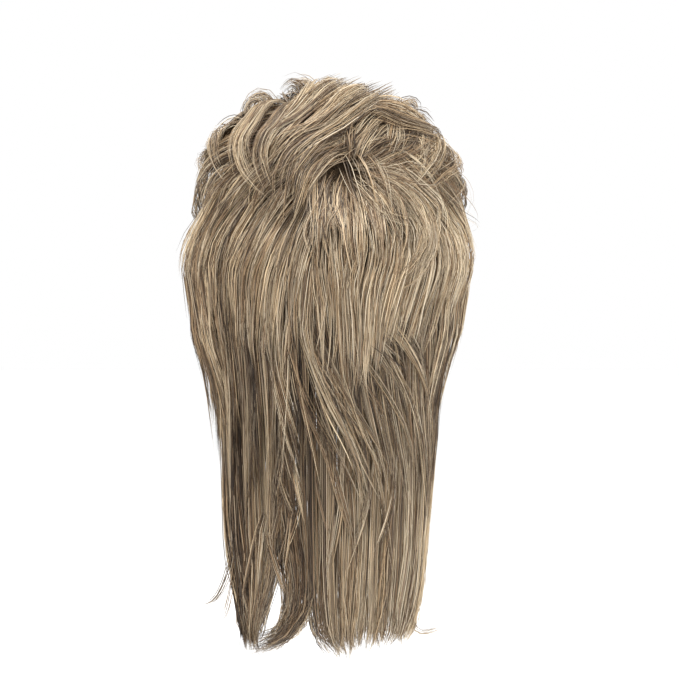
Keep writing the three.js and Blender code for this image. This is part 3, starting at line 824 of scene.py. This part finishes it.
# Bands of hair over the top, as they show from behind: mm to the left of the middle, and up from the crown
topSweeps = [
    dict(left=[-18, -30, -46, -61], up=[-35, -23, -10, -1], width=12, level=0.6, loose=3),
    dict(left=[-22, -40, -58, -72], up=[-39, -29, -18, -12], width=12, level=0.6, loose=3),
    dict(left=[-14, -20, -31, -46], up=[-35, -20, -5, 7], width=14, level=0.7, loose=3),
    dict(left=[-29, -48, -66, -81], up=[-43, -36, -28, -22], width=12, level=0.6, loose=3),
    dict(left=[-9, -12, -17, -26], up=[-34, -19, -4, 11], width=12, level=0.7, loose=3),
    dict(left=[-19, -25, -33, -40], up=[-37, -28, -17, -8], width=12, level=0.4, loose=3),
    dict(left=[-54, -50, -39], up=[-1, -21, -41], width=14, level=0.7, loose=3),
    dict(left=[-73, -57, -40], up=[-15, -30, -47], width=14, level=0.7, loose=3),
    dict(left=[-18, -37, -52, -63, -62, -50, -37], up=[-43, -47, -58, -73, -92, -110, -119], width=14,
         level=0.5),
    dict(left=[-19, -41, -58, -70, -69, -58], up=[-39, -41, -51, -66, -86, -101], width=14, level=0.5),
    dict(left=[-17, -30, -41, -46, -40], up=[-47, -54, -66, -84, -101], width=14, level=0.4),
    dict(left=[-58, -70, -75, -69, -55, -46], up=[-14, -22, -35, -48, -61, -68], width=12, level=0.8),
    dict(left=[-51, -62, -65, -57, -44], up=[-12, -21, -33, -47, -58], width=12, level=0.7),
    dict(left=[-76, -85, -86, -79, -68], up=[-18, -29, -44, -59, -70], width=12, level=0.6),
    dict(left=[-8, -6, -7, -8], up=[-51, -66, -82, -104], width=8, level=0.3),
    dict(left=[-17, -17, -19, -21], up=[-54, -68, -86, -110], width=8, level=0.3),
    dict(left=[-2, 2, 4, 3], up=[-44, -61, -86, -113], width=10, level=0.35),
    dict(left=[-24, -30, -33, -33], up=[-52, -65, -84, -108], width=8, level=0.3),
    dict(left=[-18, -4, 8, 14, 18], up=[-25, -33, -44, -61, -82], width=14, level=0.7),
    dict(left=[-27, -10, 6, 16, 21, 23], up=[-13, -22, -33, -47, -65, -82], width=14, level=0.8),
    dict(left=[-37, -15, 4, 18, 25, 26], up=[-4, -11, -22, -35, -51, -68], width=14, level=0.9),
    dict(left=[-48, -26, -3, 16, 26, 30, 30], up=[3, -5, -17, -30, -42, -56, -66], width=14, level=0.9),
    dict(left=[33, 18, -3, -26, -42, -50], up=[-47, -31, -15, 3, 14, 19], width=12, level=1.1, lift=5),
    dict(left=[40, 28, 8, -13, -30, -40], up=[-40, -27, -12, 7, 19, 25], width=12, level=1.1, lift=6),
    dict(left=[44, 34, 16, -3, -16, -24], up=[-33, -22, -9, 9, 21, 27], width=12, level=1.15, lift=6),
    dict(left=[38, 30, 18, 6, -2, -7], up=[-22, -16, -5, 11, 22, 27], width=10, level=1.1, lift=5),
    dict(left=[34, 28, 20, 13, 9], up=[-14, -8, 1, 14, 23], width=9, level=1.1, lift=4),
    dict(left=[-17, -41, -63, -83], up=[6, -3, -15, -23], width=10, level=1.1),
    dict(left=[-23, -48, -68, -86], up=[11, 3, -10, -21], width=10, level=1.2),
    dict(left=[-32, -55, -73, -87], up=[15, 7, -7, -21], width=10, level=1.2),
]
# Smooth curls to the left of the whorl, drawn in the same way
leftCurls = [
    dict(left=[10, 22, 31, 38, 41, 36], up=[10, 2, -12, -24, -39, -55], width=8, level=1.15, tone=0.57),
    dict(left=[22, 34, 44, 50, 53, 48, 36], up=[11, 5, -6, -19, -34, -50, -61], width=11, level=1.3,
         tone=0.65),
    dict(left=[32, 46, 57, 65, 68, 67, 61], up=[11, 6, -2, -10, -23, -39, -51], width=12, level=1.25,
         tone=0.63),
    dict(left=[42, 56, 67, 75, 78, 76, 71], up=[10, 5, -3, -13, -26, -38, -48], width=11, level=1.15,
         tone=0.55),
    dict(left=[52, 64, 75, 82, 85, 82], up=[9, 4, -4, -16, -29, -38], width=9, level=1.1, tone=0.5),
]
# Bands further forward, in degrees round from the back and down from the crown
foreSweeps = [
    dict(round=[-170, -110, -45, -20], down=[20, 14, 18, 34], width=20, level=0.9),
    dict(round=[150, 90, 20, -12], down=[22, 13, 22, 38], width=20, level=0.9),
    dict(round=[120, 76, 40, 8], down=[30, 22, 26, 40], width=20, level=0.9),
    dict(round=[-150, -112, -84, -60], down=[30, 27, 34, 46], width=28, level=0.8),
    dict(round=[-128, -104, -84, -66], down=[44, 39, 44, 55], width=24, level=0.8),
    dict(round=[150, 112, 84, 58], down=[30, 27, 33, 43], width=28, level=0.8),
    dict(round=[128, 104, 84, 64], down=[44, 39, 43, 53], width=24, level=0.8),
    dict(round=[-110, -104, -92, -74], down=[24, 38, 50, 60], width=22, level=0.7),
    dict(round=[108, 98, 90, 76], down=[22, 36, 48, 58], width=22, level=0.7),
]
topLook = dict(spread=230, baseStrands=28, locks=4, strands=24, rings=9, wild=6, wildStrands=9, curlLocks=5,
               curlStrands=30)
# Tufts that stand off the top, as they show from behind, in mm; deep is how far back they stand
tufts = [
    dict(left=[29, 38, 44, 51, 53, 49, 44], up=[-10, 9, 16, 13, 6, 0, 1], width=6, tip=0.6, deep=16,
         count=44),
    dict(left=[34, 41, 47, 54, 57, 54], up=[-8, 6, 13, 11, 4, -2], width=5, tip=0.6, deep=20, count=22),
    dict(left=[20, 17, 18, 24, 31], up=[-8, 8, 20, 25, 19], width=8, tip=0.6, deep=10, count=54),
    dict(left=[13, 10, 11, 16, 22], up=[-6, 12, 22, 26, 24], width=7, tip=0.6, deep=4, count=44),
    dict(left=[8, 6, 3, -2, -6, -5], up=[-4, 14, 23, 27, 23, 17], width=6, tip=0.7, deep=6, count=28),
    dict(left=[8, 2, -8, -17], up=[-6, 10, 20, 25], width=11, tip=0.8, deep=4, count=60),
    dict(left=[-2, -10, -20, -29], up=[-4, 10, 19, 24], width=11, tip=0.8, deep=8, count=60),
    dict(left=[-12, -21, -31, -40], up=[-4, 10, 18, 22], width=11, tip=0.8, deep=2, count=60),
    dict(left=[-24, -33, -43, -50], up=[-4, 8, 15, 19], width=9, tip=0.8, deep=8, count=44),
    dict(left=[-38, -49, -58, -63, -61], up=[-6, 7, 12, 9, 2], width=6, tip=0.6, deep=12, count=28),
    dict(left=[-47, -57, -66, -73], up=[-10, -1, 3, -4], width=7, tip=0.8, deep=6, count=22),
    dict(left=[-55, -67, -76, -82], up=[-18, -9, -9, -17], width=7, tip=0.8, deep=4, count=18),
    dict(left=[-67, -81, -88, -91], up=[-32, -23, -27, -38], width=7, tip=0.8, deep=8, count=12),
    dict(left=[52, 60, 67, 74, 79], up=[-12, -3, -3, -9, -18], width=6, tip=0.7, deep=20, count=16),
]


def topBase(rng):  # short hair that runs away from the whorl and covers the whole top
    i = np.arange(topLook["spread"]) + 0.5
    away = np.degrees(np.arccos(1 - 1.47 * i / topLook["spread"]))
    spots = discSpot(goldenTurn * i, away)
    depth = measured(spots)["depth"]
    keep = (depth < 0.062) & (away > 7)
    spots, depth = spots[keep], depth[keep]
    lengths = rng.uniform(0.048, 0.072, len(spots)) * (1 - 0.55 * smooth(depth, 0.025, 0.06))
    low = smooth(depth, 0.03, 0.06)
    made = []
    for track, share in zip(followAway(spots, lengths), low):
        combLock(made, rng, "top", trackPath(track), rng.uniform(0.024, 0.034), topLook["baseStrands"],
                 rise=rng.uniform(0.35, 0.8) * (1 - 0.6 * share), settle=0.0005 + 0.007 * share,
                 tone=rng.normal(0.5, 0.07), start=0.3, least=0.7, loose=1.6 - 0.8 * share)
    return strandMesh("top_layer_base", made)


def makeTop():
    rng = np.random.default_rng(51)
    base = topBase(rng)
    made = []
    for row in foreSweeps + topSweeps:
        rowTone = rng.normal(0.55, 0.06)
        names = ("left", "up") if "left" in row else ("round", "down")
        for copy in range(topLook["locks"]):
            first = np.array(row[names[0]]) + rng.normal(0, 2, len(row[names[0]]))
            second = np.array(row[names[1]]) + rng.normal(0, 1.5, len(row[names[1]]))
            if "left" in row:
                path = seenPath(first, second)
            else:
                path = swoopPath(dict(round=first, down=np.maximum(second, 3)))
            offset = row["width"] / 1000 * (copy / (topLook["locks"] - 1) - 0.5)
            combLock(made, rng, "top", beside(path, offset), rng.uniform(0.007, 0.014), topLook["strands"],
                     rings=topLook["rings"], rise=row["level"] * rng.uniform(0.6, 1.1), settle=0.002,
                     tone=rowTone + rng.normal(0, 0.08), ash=0.45, start=0.5, least=0.6, feather=0.7,
                     loose=row.get("loose", 1.5), under=0.4 if "lift" in row else 0.2,
                     lift=row.get("lift", 0) / 1000)
    for i in range(topLook["wild"]):
        start = np.array([rng.uniform(-70, 10), rng.uniform(-50, -5)])
        way = math.radians(rng.uniform(-60, 70) + (180 if start[0] > -20 else 0))
        reach = rng.uniform(30, 50) * np.array([-math.cos(way), math.sin(way)])
        middle = start + 0.5 * reach + rng.normal(0, 4, 2)
        path = seenPath(np.array([start[0], middle[0], start[0] + reach[0]]),
                        np.array([start[1], middle[1], start[1] + reach[1]]))
        combLock(made, rng, "top", path, 0.03, topLook["wildStrands"], rings=topLook["rings"], rise=1.2,
                 lift=0.001, tone=0.56, start=0.6, loose=2, thick=0.00012)
    strands = strandMesh("top_layer_hair", made)
    made = []
    for row in leftCurls:
        for copy in range(topLook["curlLocks"]):
            jitter = rng.normal(0, 0.5, (2, len(row["left"])))
            offset = row["width"] / 1000 * (copy / (topLook["curlLocks"] - 1) - 0.5)
            path = beside(seenPath(row["left"] + jitter[0], row["up"] + jitter[1]), offset)
            combLock(made, rng, "top", path, rng.uniform(0.007, 0.011), topLook["curlStrands"],
                     rings=topLook["rings"], rise=row["level"] * rng.uniform(0.9, 1), settle=0.001,
                     least=0.75, feather=0.75, tone=rng.normal(row["tone"], 0.06), ash=0.45, loose=1.2,
                     under=0.8, thick=0.0002)
    for row in tufts:
        standLock(made, rng, row, rng.normal(0.45, 0.06), topLook["rings"])
    curls = strandMesh("top_layer_tufts", made)

    def place(across, along):
        turn = -66 + 132 * across
        far = 40 + 42 * np.cos(np.radians(turn))
        return discSpot(turn, far + (22 - far) * along)
    sheet = backingSheet("top_layer_backing", "top", 40, 24, place)
    finishLayer("top_layer", "short_hair", shortHair, sheet, base, curls, strands)


netLook = dict(scale=420.0, bump=0.6, height=0.0005,
               tones=[(0.02, srgb(92, 76, 58)), (0.12, srgb(50, 40, 31))])
ribbonLook = dict(scale=600.0, bump=0.5, height=0.0003,
                  tones=[(0.2, srgb(40, 32, 26)), (0.8, srgb(66, 54, 43))])


def dressNode(node, made, look, pattern, raised):
    material, shader, wire = made
    colour = wire.node("ValToRGB", dict(stops=look["tones"]), {0: pattern})
    bump = wire.node("Bump", sockets={0: look["bump"], 1: look["height"], 2: raised})
    wire.tree.links.new(colour.socket, shader.inputs["Base Color"])
    wire.tree.links.new(bump.socket, shader.inputs["Normal"])
    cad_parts[node].data.materials.clear()
    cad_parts[node].data.materials.append(material)


def dressCap():
    made = newMaterial("capNet", Roughness=0.85, Specular_IOR_Level=0.2)
    place = made[2].node("TexCoord", output=3)
    weave = made[2].node("TexVoronoi", dict(feature="DISTANCE_TO_EDGE"),
                         {"Vector": place, "Scale": netLook["scale"]})
    dressNode("cap", made, netLook, weave, 1.0 - weave)
    made = newMaterial("bandRibbon", Roughness=0.75, Specular_IOR_Level=0.25)
    place = made[2].node("TexCoord", output=3)
    ribs = made[2].node("TexWave", dict(bands_direction="Z"),
                        {"Vector": place, "Scale": ribbonLook["scale"], "Distortion": 0.4})
    dressNode("edge_band", made, ribbonLook, ribs, ribs)


dressCap()
makeNape()
makeBack()
makeSide("side_layer_left", -1)
makeSide("side_layer_right", 1)
makeFringe()
makeCrown()
makeTop()
print("hair combed")


# The stage: a pale floor, soft lights, and the camera behind the wig

floorLook = dict(size=60, level=-0.46, glow=0.21)
lampAim = (0, 0, -0.15)
lamps = [
    dict(name="keyLight", place=(0.35, 1.5, 1.4), size=0.7, power=32),
    dict(name="fillLight", place=(-1.3, 1.3, 0.4), size=1.2, power=8),
    dict(name="topLight", place=(0, 0.3, 1.5), size=0.8, power=12),
    dict(name="frontLight", place=(0.5, -1.6, 0.8), size=1.0, power=12),
]
# The photo's width, middle and crown in pixels, metres for each pixel, and where the camera stands
photo = dict(width=679, scale=0.00069, centreX=326, crownY=116, distance=2.2, backY=0.04)


def makeStage():
    bpy.ops.object.select_all(action="DESELECT")
    material = newMaterial("paleFloor", Base_Color=(0.8, 0.8, 0.8, 1), Roughness=0.9, Specular_IOR_Level=0.1,
                           Emission_Color=(1, 1, 1, 1), Emission_Strength=floorLook["glow"])[0]
    bpy.ops.mesh.primitive_plane_add(size=floorLook["size"], location=(0, 0, floorLook["level"]))
    floor = bpy.context.object
    floor.name = "floor"
    floor.data.materials.append(material)


def lightStage():
    world = bpy.data.worlds.new("softWhite")
    bpy.context.scene.world = world
    world.use_nodes = True
    world.node_tree.nodes["Background"].inputs[0].default_value = (1, 1, 1, 1)
    world.node_tree.nodes["Background"].inputs[1].default_value = 1.0
    for row in lamps:
        data = bpy.data.lights.new(row["name"], "AREA")
        data.shape, data.size, data.energy = "DISK", row["size"], row["power"]
        lamp = bpy.data.objects.new(row["name"], data)
        bpy.context.scene.collection.objects.link(lamp)
        lamp.location = row["place"]
        lamp.rotation_euler = (Vector(lampAim) - Vector(row["place"])).to_track_quat("-Z", "Y").to_euler()
    bpy.context.scene.view_settings.view_transform = "Standard"


def placeCamera():
    data = bpy.data.cameras.new("camera")
    camera = bpy.data.objects.new("camera", data)
    bpy.context.scene.collection.objects.link(camera)
    bpy.context.scene.camera = camera
    middle = photo["width"] / 2
    x = (photo["centreX"] - middle) * photo["scale"]
    z = (photo["crownY"] - middle) * photo["scale"]
    data.lens = data.sensor_width * photo["distance"] / (photo["width"] * photo["scale"])
    camera.location = (x, photo["backY"] + photo["distance"], z)
    camera.rotation_euler = (math.pi / 2, 0, math.pi)
    data.clip_start, data.clip_end = 0.05, 50


makeStage()
lightStage()
placeCamera()
print("stage lit")
